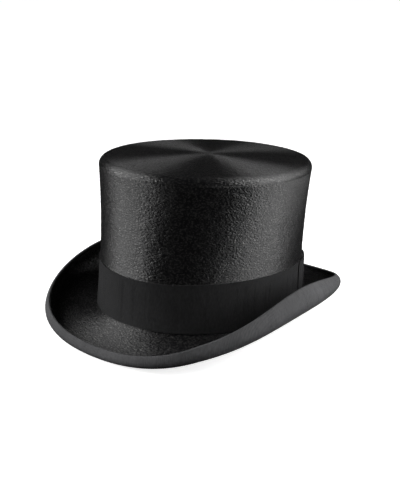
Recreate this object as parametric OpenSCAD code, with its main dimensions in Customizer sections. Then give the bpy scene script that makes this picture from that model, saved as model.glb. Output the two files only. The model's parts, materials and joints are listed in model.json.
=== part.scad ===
// Plush top hat, standing on its brim. Millimetres, +Z up. The front faces -Y and the wearer's left is +X.
// The crown is a four-arc oval: its walls are parallel curves of one oval, measured by their depth below
// the plush. The brim is one curved section carried round the oval, rolled up at both sides.

/* [Crown] */
// Half width of the crown at its waist
crown_half_width = 88.2; // [84:0.1:92]
// Half length of the crown at its waist, front to back
crown_half_length = 103; // [99:0.5:107]
// Height of the crown above the brim
crown_height = 135; // [120:1:150]
// How far the crown spreads at its foot
foot_flare = 2.8; // [1:0.1:5]
// How far the crown spreads at its tip
tip_flare = 4.2; // [1:0.1:7]
// Radius of the tip's rounded edge
tip_edge_r = 4.5; // [2.8:0.1:4.5]
// How far the crown leans back, in degrees
crown_lean = 3; // [1:0.5:4]
// Height of the crown's foot above the floor, at the crown's axis
crown_foot_height = 11.7; // [10:0.1:15]

/* [Brim reach] */
// Reach of the brim beyond the crown at the front
reach_front = 38; // [34:0.5:44]
// Reach of the brim at the front quarters
reach_front_quarter = 46.4; // [42:0.2:50]
// Reach of the brim at the sides
reach_side = 35.8; // [32:0.2:40]
// Reach of the brim at the back quarters
reach_back_quarter = 48.8; // [44:0.2:52]
// Reach of the brim at the back
reach_back = 48.2; // [42:0.2:52]
// How far the brim's edge is set forward of the crown
edge_forward = 5.3; // [2:0.1:7]

/* [Brim fall] */
// Height of the curve's low handles at the front
low_front = -4.1; // [-5:0.1:2]
// Height of the low handles at the front quarters
low_front_quarter = 7.5; // [4:0.5:10]
// Height of the low handles at the sides
low_side = 22.4; // [18:0.2:26]
// Height of the low handles at the back quarters
low_back_quarter = 15.1; // [10:0.1:18]
// Height of the low handles at the back
low_back = -1.8; // [-3:0.1:2]

/* [Brim curl] */
// Height of the brim's edge at the front
edge_front = 10.7; // [8:0.1:16]
// Height of the edge at the front quarters
edge_front_quarter = 27.1; // [22:0.1:32]
// Height of the edge at the sides
edge_side = 49.4; // [40:0.2:54]
// Height of the edge at the back quarters
edge_back_quarter = 25.8; // [20:0.2:32]
// Height of the edge at the back
edge_back = 9.9; // [8:0.1:16]
// How far the edge leans in at the front
lean_front = 6.7; // [3:0.1:9]
// How far the edge leans in at the front quarters
lean_front_quarter = 6.3; // [3:0.1:9]
// How far the edge leans in at the sides
lean_side = 14.9; // [8:0.1:17]
// How far the edge leans in at the back quarters
lean_back_quarter = 9.2; // [5:0.2:12]
// How far the edge leans in at the back
lean_back = 1.2; // [0:0.1:5]

/* [Cloth, leather and ribbon] */
// Thickness of the plush
plush_t = 0.9; // [0.6:0.1:1]
// Thickness of the stiff body under the plush
body_t = 1.5; // [1.2:0.1:1.6]
// Thickness of the grosgrain ribbon
ribbon_t = 0.7; // [0.4:0.1:0.8]
// Thickness of the satin linings
lining_t = 0.5; // [0.3:0.1:0.6]
// Thickness of the sweatband's leather
leather_t = 1.1; // [0.8:0.1:1.2]
// Width of the hat band
band_w = 43.6; // [36:0.2:50]
// Width of the binding on the outer face of the curl
binding_w = 20.5; // [18:0.5:24]
// Width of the binding folded over to the upper face
binding_fold_w = 4.5; // [4:0.5:6]
// Width of the sweatband
sweatband_w = 52; // [46:1:56]

/* [Bow] */
// Where the bow sits round the crown: 0 is the wearer's left, 90 the back
bow_angle = 34; // [30:1:40]
// Length of the bow along the band, in degrees
bow_span = 36; // [28:1:36]

/* [Hidden] */
$fn = 48;

// The oval: two side arcs and two tighter end arcs, which meet at 45 degrees
arc_offset = (crown_half_length - crown_half_width) / (2 - sqrt(2));
end_arc_r = crown_half_length - arc_offset;
side_arc_r = crown_half_width + arc_offset;

// Depths below the plush's outer face
body_out = plush_t;
body_in = body_out + body_t;
flange_in = body_in + 1.1;
lining_out = flange_in + 0.2;
lining_in = lining_out + lining_t;
pad_out = lining_in + 0.3;
pad_in = pad_out + 1.8;
leather_out = pad_in + 0.2;
leather_in = leather_out + leather_t;
seam_tab_in = leather_in + 0.7;

// The brim's layers, from its under face up
cloth_t = 0.7;
brim_body_top = cloth_t + body_t;
brim_t = brim_body_top + plush_t;
sweatband_foot = -brim_t + 0.1;
sweatband_top = sweatband_foot + sweatband_w;

// How far the bow's loops and knot stand out from the plush, and half the knot's width in degrees
loop_proud = 2.3;
knot_proud = 3.1;
knot_half = 2.5;

reach = [reach_front, reach_front_quarter, reach_side, reach_back_quarter, reach_back];
low = [low_front, low_front_quarter, low_side, low_back_quarter, low_back];
edge_height = [edge_front, edge_front_quarter, edge_side, edge_back_quarter, edge_back];
edge_lean = [lean_front, lean_front_quarter, lean_side, lean_back_quarter, lean_back];
// How far the curve's low handles stand in from the reach and out from it
inner_handle = [17.7, 20.8, 26, 22.7, 21.4];
outer_handle = [10.5, 9, 7.9, 8.5, 8.9];

brim_steps = 72;
curve_steps = 20;
// The brim starts this far outside the plush's face, just clear of the crown's wall
brim_start = -0.5;

// ---- the oval crown ----

// Centre of arc i: 0 left, 1 back, 2 right, 3 front
function arc_centre(i) = arc_offset * [[-1, 0], [0, 1], [1, 0], [0, -1]][i];
function arc_r(i) = i % 2 == 0 ? side_arc_r : end_arc_r;
// Point on the oval where its outward normal points at angle a, moved out by d
function oval_point(a, d) =
    let (i = floor((a + 45 + 360) / 90) % 4)
    arc_centre(i) + (arc_r(i) + d) * [cos(a), sin(a)];

// The crown's outward spread at height z, straight between the heights listed
function spread(z) =
    tip_flare * pow(max(z, 0) / crown_height, 3) + foot_flare * pow(1 - max(z, 0) / crown_height, 3);
levels = [-10, 0, 12, 28, 45, 65, 85, 105, 120, crown_height - tip_edge_r, crown_height];
function flare(z) = lookup(z, [for (level = levels) [level, spread(level)]]);
tip_r_offset = flare(crown_height - tip_edge_r);

// Outline of a wall between two heights and two depths below the plush's face
module wall(from_z, to_z, outer, inner) {
    heights = concat([from_z], [for (z = levels) if (z > from_z && z < to_z) z], [to_z]);
    last = len(heights) - 1;
    polygon(concat(
        [for (z = heights) [flare(z) - outer, z]],
        [for (i = [last:-1:0]) [flare(heights[i]) - inner, heights[i]]]
    ));
}

// Carries an outline round the oval between two angles, from -45 to 315
module round_oval(from = -45, to = 315) {
    for (i = [0:3]) {
        start = max(from, 90 * i - 45);
        stop = min(to, 90 * i + 45);
        if (stop > start)
            translate(arc_centre(i))
                rotate(start)
                    rotate_extrude(angle = stop - start)
                        translate([arc_r(i), 0])
                            children();
    }
}

// A flat oval plate, d outside the crown's own oval
module oval_plate(from_z, to_z, d) {
    for (i = [0:3])
        translate(arc_centre(i))
            rotate(90 * i - 45)
                rotate_extrude(angle = 90)
                    translate([0, from_z])
                        square([arc_r(i) + d, to_z - from_z]);
}

// Quarter-round layer over the tip's edge, between two depths
module edge_round(outer, inner) {
    centre = [tip_r_offset - tip_edge_r, crown_height - tip_edge_r];
    r_out = tip_edge_r - outer;
    r_in = tip_edge_r - inner;
    polygon(concat(
        [for (a = [0:15:90]) centre + r_out * [cos(a), sin(a)]],
        [for (a = [90:-15:0]) centre + r_in * [cos(a), sin(a)]]
    ));
}

// Puts a piece drawn in the crown's own frame onto the brim
module on_crown() {
    translate([0, centre_y, crown_foot_height])
        rotate([-crown_lean, 0, 0])
            children();
}

// A short thread between two points
module thread(p, q, r) {
    run = q - p;
    translate((p + q) / 2)
        rotate([0, acos(run[2] / norm(run)), atan2(run[1], run[0])])
            cylinder(h = norm(run), r = r, center = true, $fn = 16);
}

// ---- the brim ----

// A value given at the front, front quarters, sides, back quarters and back, at angle a
function smooth_round(v, a) =
    v[2] * pow(cos(a), 2) + ((v[0] + v[4]) / 2 + (v[4] - v[0]) / 2 * sin(a)) * pow(sin(a), 2);
function round_brim(v, a) =
    let (front_extra = v[1] - smooth_round(v, -45))
    let (back_extra = v[3] - smooth_round(v, 45))
    smooth_round(v, a) + pow(sin(2 * a), 2) *
        (front_extra * (1 - sqrt(2) * sin(a)) / 2 + back_extra * (1 + sqrt(2) * sin(a)) / 2);

// Where the crown's foot stands at angle a
function crown_foot(a) =
    let (p = oval_point(a, foot_flare))
    [p[0], p[1] * cos(crown_lean), crown_foot_height - p[1] * sin(crown_lean)];

// The under face of the brim at angle a, as the four handles of a curve: [out from the crown, up]
function handles(a) = [
    [brim_start, crown_foot(a)[2] - brim_t],
    [round_brim(reach, a) - round_brim(inner_handle, a), round_brim(low, a)],
    [round_brim(reach, a) + round_brim(outer_handle, a), round_brim(low, a)],
    [round_brim(reach, a) - round_brim(edge_lean, a), round_brim(edge_height, a)]
];
function curve(h, t) =
    pow(1 - t, 3) * h[0] + 3 * pow(1 - t, 2) * t * h[1] + 3 * (1 - t) * t * t * h[2] + pow(t, 3) * h[3];
function slope(h, t) =
    pow(1 - t, 2) * (h[1] - h[0]) + 2 * (1 - t) * t * (h[2] - h[1]) + t * t * (h[3] - h[2]);
// The way up through the brim: straight up at the crown, square to the curve beyond it
function up(h, t) =
    let (s = slope(h, t) / norm(slope(h, t)))
    let (blend = min(t / 0.2, 1))
    let (way = (1 - blend) * [0, 1] + blend * [-s[1], s[0]])
    way / norm(way);

// Pairs of [distance from the edge along the curve, place on the curve], from the crown to the edge
function distances(h) =
    let (points = [for (i = [0:curve_steps]) curve(h, i / curve_steps)])
    let (lengths = [for (i = [1:curve_steps]) norm(points[i] - points[i - 1])])
    [for (i = [0:curve_steps]) [sum_from(lengths, i), i / curve_steps]];
function sum_from(v, i) = i < len(v) ? v[i] + sum_from(v, i + 1) : 0;

// Point of the brim at angle a, at place t on the curve h and depth up from the under face
function brim_point(a, h, t, depth) =
    let (foot = crown_foot(a))
    let (p = curve(h, t) + depth * up(h, t))
    [foot[0] + cos(a) * p[0], foot[1] + sin(a) * p[0] - edge_forward * t, p[1]];

// The middle of the brim's length and its lowest point, which set the origin
front_face = [for (i = [0:60]) brim_point(-90, handles(-90), i / 60, 0)];
back_face = [for (i = [0:60]) brim_point(90, handles(90), i / 60, 0)];
centre_y = -(min([for (p = front_face) p[1]]) + max([for (p = back_face) p[1]])) / 2;

// Sweeps a closed outline round the brim. Each place is [distance from the edge, depth up]. A distance
// below 0 is instead a share of the way from the binding to the crown.
module round_brim_sweep(outline) {
    n = len(outline);
    points = [
        for (k = [0:brim_steps - 1])
            let (a = 360 * k / brim_steps)
            let (h = handles(a))
            let (table = distances(h))
            let (length = table[0][0])
            for (place = outline)
                let (s = place[0] < 0 ? binding_w - (length - binding_w) * place[0] : place[0])
                brim_point(a, h, lookup(min(s, length), table), place[1]) + [0, centre_y, 0]
    ];
    faces = [
        for (k = [0:brim_steps - 1], i = [0:n - 1])
            let (k2 = (k + 1) % brim_steps)
            let (i2 = (i + 1) % n)
            each [
                [k * n + i, k * n + i2, k2 * n + i2],
                [k * n + i, k2 * n + i2, k2 * n + i]
            ]
    ];
    polyhedron(points, faces, convexity = 8);
}

// Places along the brim: within the binding as distances, beyond it as shares of the rest, written below 0
within_binding = [1, binding_fold_w, 8.5, 13, 17.5, binding_w];
beyond_binding = [-1/6, -2/6, -3/6, -4/6, -5/6, -1];
function up_row(places, depth) = [for (p = places) [p, depth]];
function down_row(places, depth) = [for (i = [len(places) - 1:-1:0]) [places[i], depth]];
function layer(places, from, to) = concat(down_row(places, from), up_row(places, to));

// ---- stiff foundation ----

module side_crown_body() {
    color("#3a342d")
        on_crown()
            round_oval()
                wall(-brim_t, crown_height - tip_edge_r, body_out, body_in);
}

module crown_tip_body() {
    color("#3a342d")
        on_crown() {
            oval_plate(crown_height - body_in, crown_height - body_out, tip_r_offset - tip_edge_r);
            round_oval()
                edge_round(body_out, body_in);
            round_oval()
                wall(crown_height - 16, crown_height - body_in, body_in, flange_in);
        }
}

module brim_body() {
    color("#3a342d")
        round_brim_sweep(layer(concat(within_binding, beyond_binding), cloth_t, brim_body_top));
}

// ---- plush, cloth and binding ----

module side_crown_plush() {
    color("#1a1a1c")
        on_crown()
            round_oval()
                wall(0.1, crown_height - tip_edge_r, 0, body_out);
}

module crown_tip_plush() {
    color("#1a1a1c")
        on_crown() {
            oval_plate(crown_height - body_out, crown_height, tip_r_offset - tip_edge_r);
            round_oval()
                edge_round(0, body_out);
        }
}

module brim_top_plush() {
    places = [for (p = concat(within_binding, beyond_binding)) if (p < 0 || p >= binding_fold_w) p];
    color("#1a1a1c")
        round_brim_sweep(layer(places, brim_body_top, brim_t));
}

module underbrim_cloth() {
    color("#141415")
        round_brim_sweep(layer(concat([binding_w], beyond_binding), 0, cloth_t));
}

module brim_binding() {
    fold_top = brim_body_top + ribbon_t;
    color("#2c2c2f")
        round_brim_sweep(concat(
            down_row(within_binding, 0),
            [[0.25, 0.45], [0, fold_top / 2], [0.25, fold_top - 0.45]],
            up_row([1, binding_fold_w], fold_top),
            down_row([1, binding_fold_w], brim_body_top),
            up_row(within_binding, cloth_t)
        ));
}

// ---- hat band and bow ----

module hat_band() {
    color("#232326")
        on_crown()
            round_oval()
                polygon([
                    [flare(1), 1],
                    [flare(2.4) + ribbon_t, 2.4],
                    [flare(28) + ribbon_t, 28],
                    [flare(band_w + 0.8) + ribbon_t, band_w + 0.8],
                    [flare(band_w + 0.8), band_w + 0.8],
                    [flare(28), 28],
                    [flare(12), 12]
                ]);
}

// Carries an outline along the left side arc only, between two angles. Past 45 degrees that arc stands
// clear of the oval's tighter end arc, so the bow's rear end lifts slightly off the band.
module round_side_arc(from, to) {
    translate(arc_centre(0))
        rotate(from)
            rotate_extrude(angle = to - from)
                translate([arc_r(0), 0])
                    children();
}

// One loop of the bow between two angles, folded flat
module bow_loop(from, to) {
    round_side_arc(from, to)
        wall(3.4, band_w + 2.6, -loop_proud, -ribbon_t - 0.1);
}

module bow_front_loop() {
    color("#232326")
        on_crown()
            bow_loop(bow_angle - bow_span / 2, bow_angle - knot_half - 0.1);
}

module bow_rear_loop() {
    color("#232326")
        on_crown()
            bow_loop(bow_angle + knot_half + 0.1, bow_angle + bow_span / 2);
}

module bow_knot() {
    color("#232326")
        on_crown()
            round_side_arc(bow_angle - knot_half, bow_angle + knot_half)
                wall(3, band_w + 3, -knot_proud, -ribbon_t - 0.1);
}

module band_tack_stitches() {
    top = band_w + 0.8;
    color("#101012")
        on_crown()
            for (a = [0:30:330]) {
                p = oval_point(a, flare(top) + 0.4);
                thread([p[0], p[1], top + 0.25], [p[0], p[1], top + 1.6], 0.2);
            }
}

// ---- inside the crown ----

module sweatband() {
    color("#4a3526")
        on_crown()
            round_oval()
                wall(sweatband_foot, sweatband_top, leather_out, leather_in);
}

module sweatband_reed() {
    color("#c9c2b2")
        on_crown()
            round_oval()
                translate([foot_flare - pad_in + 1, sweatband_foot + 1.4])
                    circle(r = 0.9);
}

module sweatband_reed_tape() {
    foot = sweatband_foot;
    color("#1d1b1a")
        on_crown()
            round_oval()
                polygon([
                    [foot_flare - body_in, foot],
                    [foot_flare - leather_out, foot],
                    [foot_flare - leather_out, foot + 0.4],
                    [foot_flare - body_in - 0.4, foot + 0.4],
                    [foot_flare - body_in - 0.4, 0],
                    [flare(12) - body_in - 0.4, 12],
                    [flare(12) - body_in, 12],
                    [foot_flare - body_in, 0]
                ]);
}

module sweatband_back_seam() {
    color("#3f2c1f")
        on_crown()
            round_oval(86.5, 93.5)
                wall(sweatband_foot, sweatband_top - 1, leather_in, seam_tab_in);
}

// One loop of the small bow, between two angles
module small_loop(from, to) {
    round_oval(from, to)
        wall(3, 12, seam_tab_in + 0.1, seam_tab_in + 1.9);
}

module sweatband_bow_left_loop() {
    color("#151517")
        on_crown()
            small_loop(81, 88.6);
}

module sweatband_bow_right_loop() {
    color("#151517")
        on_crown()
            small_loop(91.4, 99);
}

module sweatband_bow_knot() {
    color("#151517")
        on_crown()
            round_oval(88.7, 91.3)
                wall(4, 11, seam_tab_in + 0.1, seam_tab_in + 2.6);
}

module forehead_pad() {
    color("#d8d2c4")
        on_crown()
            round_oval(238, 302)
                wall(8, 42, pad_out, pad_in);
}

module lining_side() {
    color("#e6e2d8")
        on_crown()
            round_oval()
                wall(13, crown_height - 5, lining_out, lining_in);
}

module lining_tip() {
    color("#e6e2d8")
        on_crown()
            oval_plate(crown_height - 4.9, crown_height - 4.4, tip_r_offset - lining_out);
}

module lining_piping() {
    color("#cfc9ba")
        on_crown()
            round_oval()
                translate([tip_r_offset - lining_in - 1.1, crown_height - 6])
                    circle(r = 0.9);
}

module size_ticket() {
    ticket_out = pad_out + 0.6;
    ticket_t = 0.3;
    color("#efece2")
        on_crown()
            round_oval(100, 115)
                wall(15, sweatband_top + 7, ticket_out, ticket_out + ticket_t);
}

module sweatband_stitches() {
    height = 2.5;
    color("#5b4636")
        on_crown()
            for (a = [0:4:356])
                if (abs(a - 90) > 8) {
                    p = oval_point(a, flare(height) - leather_in - 0.2);
                    run = 1.3 * [-sin(a), cos(a)];
                    thread(
                        [p[0] - run[0], p[1] - run[1], height],
                        [p[0] + run[0], p[1] + run[1], height],
                        0.2
                    );
                }
}

module binding_stitches() {
    place = binding_fold_w - 1.2;
    depth = brim_body_top + ribbon_t + 0.3;
    color("#101012")
        for (k = [0:brim_steps - 1]) {
            a = 360 * (k + 0.5) / brim_steps;
            h = handles(a);
            t = lookup(place, distances(h));
            p = brim_point(a - 0.7, handles(a - 0.7), t, depth);
            q = brim_point(a + 0.7, handles(a + 0.7), t, depth);
            translate([0, centre_y, 0])
                thread(p, q, 0.2);
        }
}

side_crown_body();
crown_tip_body();
brim_body();
side_crown_plush();
crown_tip_plush();
brim_top_plush();
underbrim_cloth();
brim_binding();
hat_band();
bow_front_loop();
bow_rear_loop();
bow_knot();
sweatband();
sweatband_reed();
sweatband_reed_tape();
sweatband_back_seam();
sweatband_bow_left_loop();
sweatband_bow_right_loop();
sweatband_bow_knot();
forehead_pad();
lining_side();
lining_tip();
lining_piping();
size_ticket();
sweatband_stitches();
binding_stitches();
band_tack_stitches();
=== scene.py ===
"""The looks of a plush top hat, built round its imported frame. Metres, +Z up, front -Y, wearer's left +X."""
import json
import math

import bpy
import numpy as np
from mathutils import Matrix, Vector


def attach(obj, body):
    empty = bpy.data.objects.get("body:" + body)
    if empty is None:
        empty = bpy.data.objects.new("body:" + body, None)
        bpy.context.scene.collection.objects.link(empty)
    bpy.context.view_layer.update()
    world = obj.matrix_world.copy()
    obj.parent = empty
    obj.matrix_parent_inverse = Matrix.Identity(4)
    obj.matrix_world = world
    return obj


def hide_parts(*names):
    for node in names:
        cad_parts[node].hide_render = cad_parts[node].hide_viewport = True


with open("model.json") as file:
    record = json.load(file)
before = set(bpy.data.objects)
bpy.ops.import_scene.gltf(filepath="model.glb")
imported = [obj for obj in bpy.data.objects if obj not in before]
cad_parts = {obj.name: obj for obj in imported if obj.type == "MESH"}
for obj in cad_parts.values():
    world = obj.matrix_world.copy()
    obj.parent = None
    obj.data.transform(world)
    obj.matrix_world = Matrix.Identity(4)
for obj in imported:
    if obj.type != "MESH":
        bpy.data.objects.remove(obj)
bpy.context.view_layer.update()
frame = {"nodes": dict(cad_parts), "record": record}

mounts = {mount["name"]: mount for mount in frame["record"]["mounts"]}

# ---- driving sizes, as in the CAD ----

HALF_WIDTH = 0.0882
HALF_LENGTH = 0.103
FOOT_FLARE = 0.0028
TIP_FLARE = 0.0042
TIP_EDGE_R = 0.0045
SWEATBAND_FOOT = -0.003
BAND_W = 0.0436
BINDING_W = 0.0205
BINDING_FOLD_W = 0.0045
SWEATBAND_W = 0.052
EDGE_FORWARD = 0.0053
BRIM_START = -0.0005

PLUSH_T = 0.0009
RIBBON_T = 0.0007

# Depths of the inner layers below the plush's outer face
LINING_OUT, LINING_IN = 0.0037, 0.0042
PAD_OUT = 0.0045
LEATHER_OUT, LEATHER_IN = 0.0065, 0.0076
SEAM_TAB_IN = 0.0083

# Heights in the brim, from its under face up
CLOTH_T = 0.0007
BRIM_BODY_TOP = 0.0022
BRIM_T = 0.0031

# The brim's curve at the front, front quarters, sides, back quarters and back
REACH = [0.038, 0.0464, 0.0358, 0.0488, 0.0482]
LOW = [-0.0041, 0.0075, 0.0224, 0.0151, -0.0018]
EDGE_HEIGHT = [0.0107, 0.0271, 0.0494, 0.0258, 0.0099]
EDGE_LEAN = [0.0067, 0.0063, 0.0149, 0.0092, 0.0012]
INNER_HANDLE = [0.0177, 0.0208, 0.026, 0.0227, 0.0214]
OUTER_HANDLE = [0.0105, 0.009, 0.0079, 0.0085, 0.0089]

# The plush's own shape: the radius of its soft outer edge, and the point that the tip's hair turns round,
# measured from the crown's axis
SOFT_EDGE_R = 0.006
SWIRL = (-0.0006, 0.0018)
TIP_DOME = 0.0024

# The bow, in angles round the crown from the wearer's left towards the back
BOW_ANGLE = math.radians(34)
BOW_HALF = math.radians(18)
KNOT_HALF = math.radians(2.5)
BACK = math.pi / 2

# ---- places worked out from the frame ----

rest_point = np.array(mounts["crown_rest"]["pos_m"])
crown_axis = np.array(mounts["crown_rest"]["axis"])
opening_point = np.array(mounts["head_opening"]["pos_m"])
CROWN_HEIGHT = float(np.linalg.norm(rest_point - opening_point)) + SWEATBAND_FOOT
LEAN = math.asin(crown_axis[1])
foot_centre = rest_point - CROWN_HEIGHT * crown_axis

ARC_OFFSET = (HALF_LENGTH - HALF_WIDTH) / (2 - math.sqrt(2))
END_R = HALF_LENGTH - ARC_OFFSET
SIDE_R = HALF_WIDTH + ARC_OFFSET

rng = np.random.default_rng(7)


# ---- the crown's oval ----

def oval(a, out):
    """Points of the oval where its outward normal points at angle a, moved out by out."""
    at_side = np.abs(np.cos(a)) >= np.abs(np.sin(a))
    radius = np.where(at_side, SIDE_R, END_R) + out
    x = radius * np.cos(a) - np.where(at_side, ARC_OFFSET * np.sign(np.cos(a)), 0)
    y = radius * np.sin(a) + np.where(at_side, 0, ARC_OFFSET * np.sign(np.sin(a)))
    return x, y


def side_arc(a, out):
    """Like oval, but on the wearer's left side arc, carried straight on past its ends."""
    return (SIDE_R + out) * np.cos(a) - ARC_OFFSET, (SIDE_R + out) * np.sin(a)


def on_crown(x, y, z):
    """Points in the crown's own frame, put in the hat's frame."""
    x, y, z = np.broadcast_arrays(x, y, z)
    back = y * math.cos(LEAN) + z * math.sin(LEAN) + foot_centre[1]
    up = z * math.cos(LEAN) - y * math.sin(LEAN) + foot_centre[2]
    return np.stack([x, back, up], -1)


def spread(z):
    """The crown's outward spread at height z."""
    share = np.maximum(z, 0) / CROWN_HEIGHT
    return TIP_FLARE * share ** 3 + FOOT_FLARE * (1 - share) ** 3


def crown(a, out, z, outline=oval):
    """Points at angle a and height z on the crown, moved out from the plush's face."""
    x, y = outline(a, spread(z) + out)
    return on_crown(x, y, z)


def round_angles(count, start=BACK):
    """Angles at even steps along the oval, from start."""
    corners = np.radians([-45, 45, 135, 225, 315])
    lengths = np.cumsum([0, SIDE_R, END_R, SIDE_R, END_R])
    first = np.interp(start, corners, lengths)
    return np.interp((first + np.arange(count) / count * lengths[-1]) % lengths[-1], lengths, corners)


# ---- the brim's curve ----

STRAIGHT_UP_SHARE = 0.2


def unit(ways):
    return ways / np.linalg.norm(ways, axis=-1, keepdims=True)


def smooth_round(v, a):
    front_back = (v[0] + v[4]) / 2 + (v[4] - v[0]) / 2 * np.sin(a)
    return v[2] * np.cos(a) ** 2 + front_back * np.sin(a) ** 2


def round_brim(v, a):
    """A value given at the front, front quarters, sides, back quarters and back, at angle a."""
    front_extra = v[1] - smooth_round(v, -math.pi / 4)
    back_extra = v[3] - smooth_round(v, math.pi / 4)
    turn = math.sqrt(2) * np.sin(a)
    extra = front_extra * (1 - turn) / 2 + back_extra * (1 + turn) / 2
    return smooth_round(v, a) + np.sin(2 * a) ** 2 * extra


def crown_foot(a):
    x, y = oval(a, FOOT_FLARE)
    return x, y * math.cos(LEAN), foot_centre[2] - y * math.sin(LEAN)


def brim_handles(a):
    """The four handles of the under face's curve at each angle, as [out, up]."""
    reach = round_brim(REACH, a)
    low = round_brim(LOW, a)
    handles = (
        (np.full_like(a, BRIM_START), crown_foot(a)[2] - BRIM_T),
        (reach - round_brim(INNER_HANDLE, a), low),
        (reach + round_brim(OUTER_HANDLE, a), low),
        (reach - round_brim(EDGE_LEAN, a), round_brim(EDGE_HEIGHT, a)),
    )
    return [np.stack(handle, -1)[:, None] for handle in handles]


def brim_curve(h, t):
    t = t[..., None]
    return (1 - t) ** 3 * h[0] + 3 * (1 - t) ** 2 * t * h[1] + 3 * (1 - t) * t * t * h[2] + t ** 3 * h[3]


def brim_up(h, t):
    """The way up through the brim: straight up at the crown, square to the curve beyond it."""
    t = t[..., None]
    run = unit((1 - t) ** 2 * (h[1] - h[0]) + 2 * (1 - t) * t * (h[2] - h[1]) + t * t * (h[3] - h[2]))
    blend = np.minimum(t / STRAIGHT_UP_SHARE, 1)
    square = np.stack([-run[..., 1], run[..., 0]], -1)
    return unit((1 - blend) * np.array([0.0, 1.0]) + blend * square)


def brim_points(a, distance, depth):
    """Points of the brim at each angle, at distances from the edge along the under face, depth up from it.

    A distance below 0 is a share of the way from the binding to the crown.
    """
    distance = np.broadcast_to(distance, (len(a), np.shape(distance)[-1]))
    h = brim_handles(a)
    fine = np.broadcast_to(np.linspace(1, 0, 161), (len(a), 161))
    steps = np.linalg.norm(np.diff(brim_curve(h, fine), axis=1), axis=-1)
    lengths = np.concatenate([np.zeros((len(a), 1)), np.cumsum(steps, 1)], 1)
    whole = lengths[:, -1:]
    distance = np.where(distance < 0, BINDING_W - (whole - BINDING_W) * distance, distance)
    t = np.stack([np.interp(d, row, fine[0]) for d, row in zip(distance, lengths)])
    flat = brim_curve(h, t) + np.broadcast_to(depth, t.shape)[..., None] * brim_up(h, t)
    x, y, _ = crown_foot(a)
    out_x = x[:, None] + np.cos(a)[:, None] * flat[..., 0]
    out_y = y[:, None] + np.sin(a)[:, None] * flat[..., 0] - EDGE_FORWARD * t + foot_centre[1]
    return np.stack([out_x, out_y, flat[..., 1]], -1)


# ---- meshes ----

# Edges that bend by more than this are shaded sharp
SHARP_ANGLE = math.radians(50)


def new_object(name, data):
    made = bpy.data.objects.new(name, data)
    bpy.context.collection.objects.link(made)
    return made


def piece_from(name, points, faces, uvs):
    """A mesh object with smooth faces, turned so that they face out. uvs has one pair per face corner."""
    points = np.asarray(points, float).reshape(-1, 3)
    volume = 0.0
    for face_set in faces:
        for second in range(1, face_set.shape[1] - 1):
            corners = points[face_set[:, 0]], points[face_set[:, second]], points[face_set[:, second + 1]]
            volume += np.einsum("ij,ij->", corners[0], np.cross(corners[1], corners[2]))
    if volume < 0:
        faces = [face_set[:, ::-1] for face_set in faces]
        uvs = [uv[:, ::-1] for uv in uvs]
    mesh = bpy.data.meshes.new(name)
    mesh.from_pydata(points.tolist(), [], [face for face_set in faces for face in face_set.tolist()])
    layer = mesh.uv_layers.new(name="cloth")
    layer.uv.foreach_set("vector", np.concatenate([uv.reshape(-1) for uv in uvs]).astype(np.float32))
    mesh.shade_smooth()
    mesh.set_sharp_from_angle(angle=SHARP_ANGLE)
    return new_object(name, mesh)


def steps_along(points, axis):
    """Mean distance from each point to the next along one axis of a grid, starting at 0."""
    gaps = np.linalg.norm(np.diff(points, axis=axis), axis=-1).mean(1 - axis)
    return np.concatenate([[0], np.cumsum(gaps)])


def closed(grid, *axes):
    """A grid with its first line again at its end, along each of these axes."""
    for axis in axes:
        grid = np.concatenate([grid, np.take(grid, [0], axis)], axis)
    return grid


def cells(grid):
    """The four corners of each cell in a grid of point numbers, points or UV pairs."""
    corners = np.stack([grid[:-1, :-1], grid[:-1, 1:], grid[1:, 1:], grid[1:, :-1]], 2)
    return corners.reshape(-1, *corners.shape[2:])


def numbered(rows, columns):
    return np.arange(rows * columns).reshape(rows, columns)


def length_round(points):
    """Mean length of a grid of points round the hat."""
    return float(steps_along(closed(points, 0), 0)[-1])


def round_solid(name, points, drift=None):
    """A closed ring: points[k, i] is place i of a closed outline at step k round the hat.

    The UV map has the distance along the outline as U and the distance round the hat as V. drift adds to V.
    """
    ring = closed(points, 0, 1)
    uv = np.stack(np.meshgrid(steps_along(ring, 1), steps_along(ring, 0)), -1)
    if drift is not None:
        uv[..., 1] += closed(drift, 0, 1)
    return piece_from(name, points, [cells(closed(numbered(*points.shape[:2]), 0, 1))], [cells(uv)])


def slab(name, outer, inner):
    """A closed solid between two grids of points, with walls along their rims. U runs along the columns."""
    index = numbered(*outer.shape[:2])
    count = index.size
    uv = np.stack(np.meshgrid(steps_along(outer, 1), steps_along(outer, 0)), -1).reshape(-1, 2)
    rim = np.concatenate([index[0, :-1], index[:-1, -1], index[-1, :0:-1], index[:0:-1, 0]])
    following = np.roll(rim, -1)
    walls = np.stack([rim, rim + count, following + count, following], -1)
    faces = np.concatenate([cells(index), cells(index + count)[:, ::-1], walls])
    points = np.concatenate([outer.reshape(-1, 3), inner.reshape(-1, 3)])
    return piece_from(name, points, [faces], [np.concatenate([uv, uv])[faces]])


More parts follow.
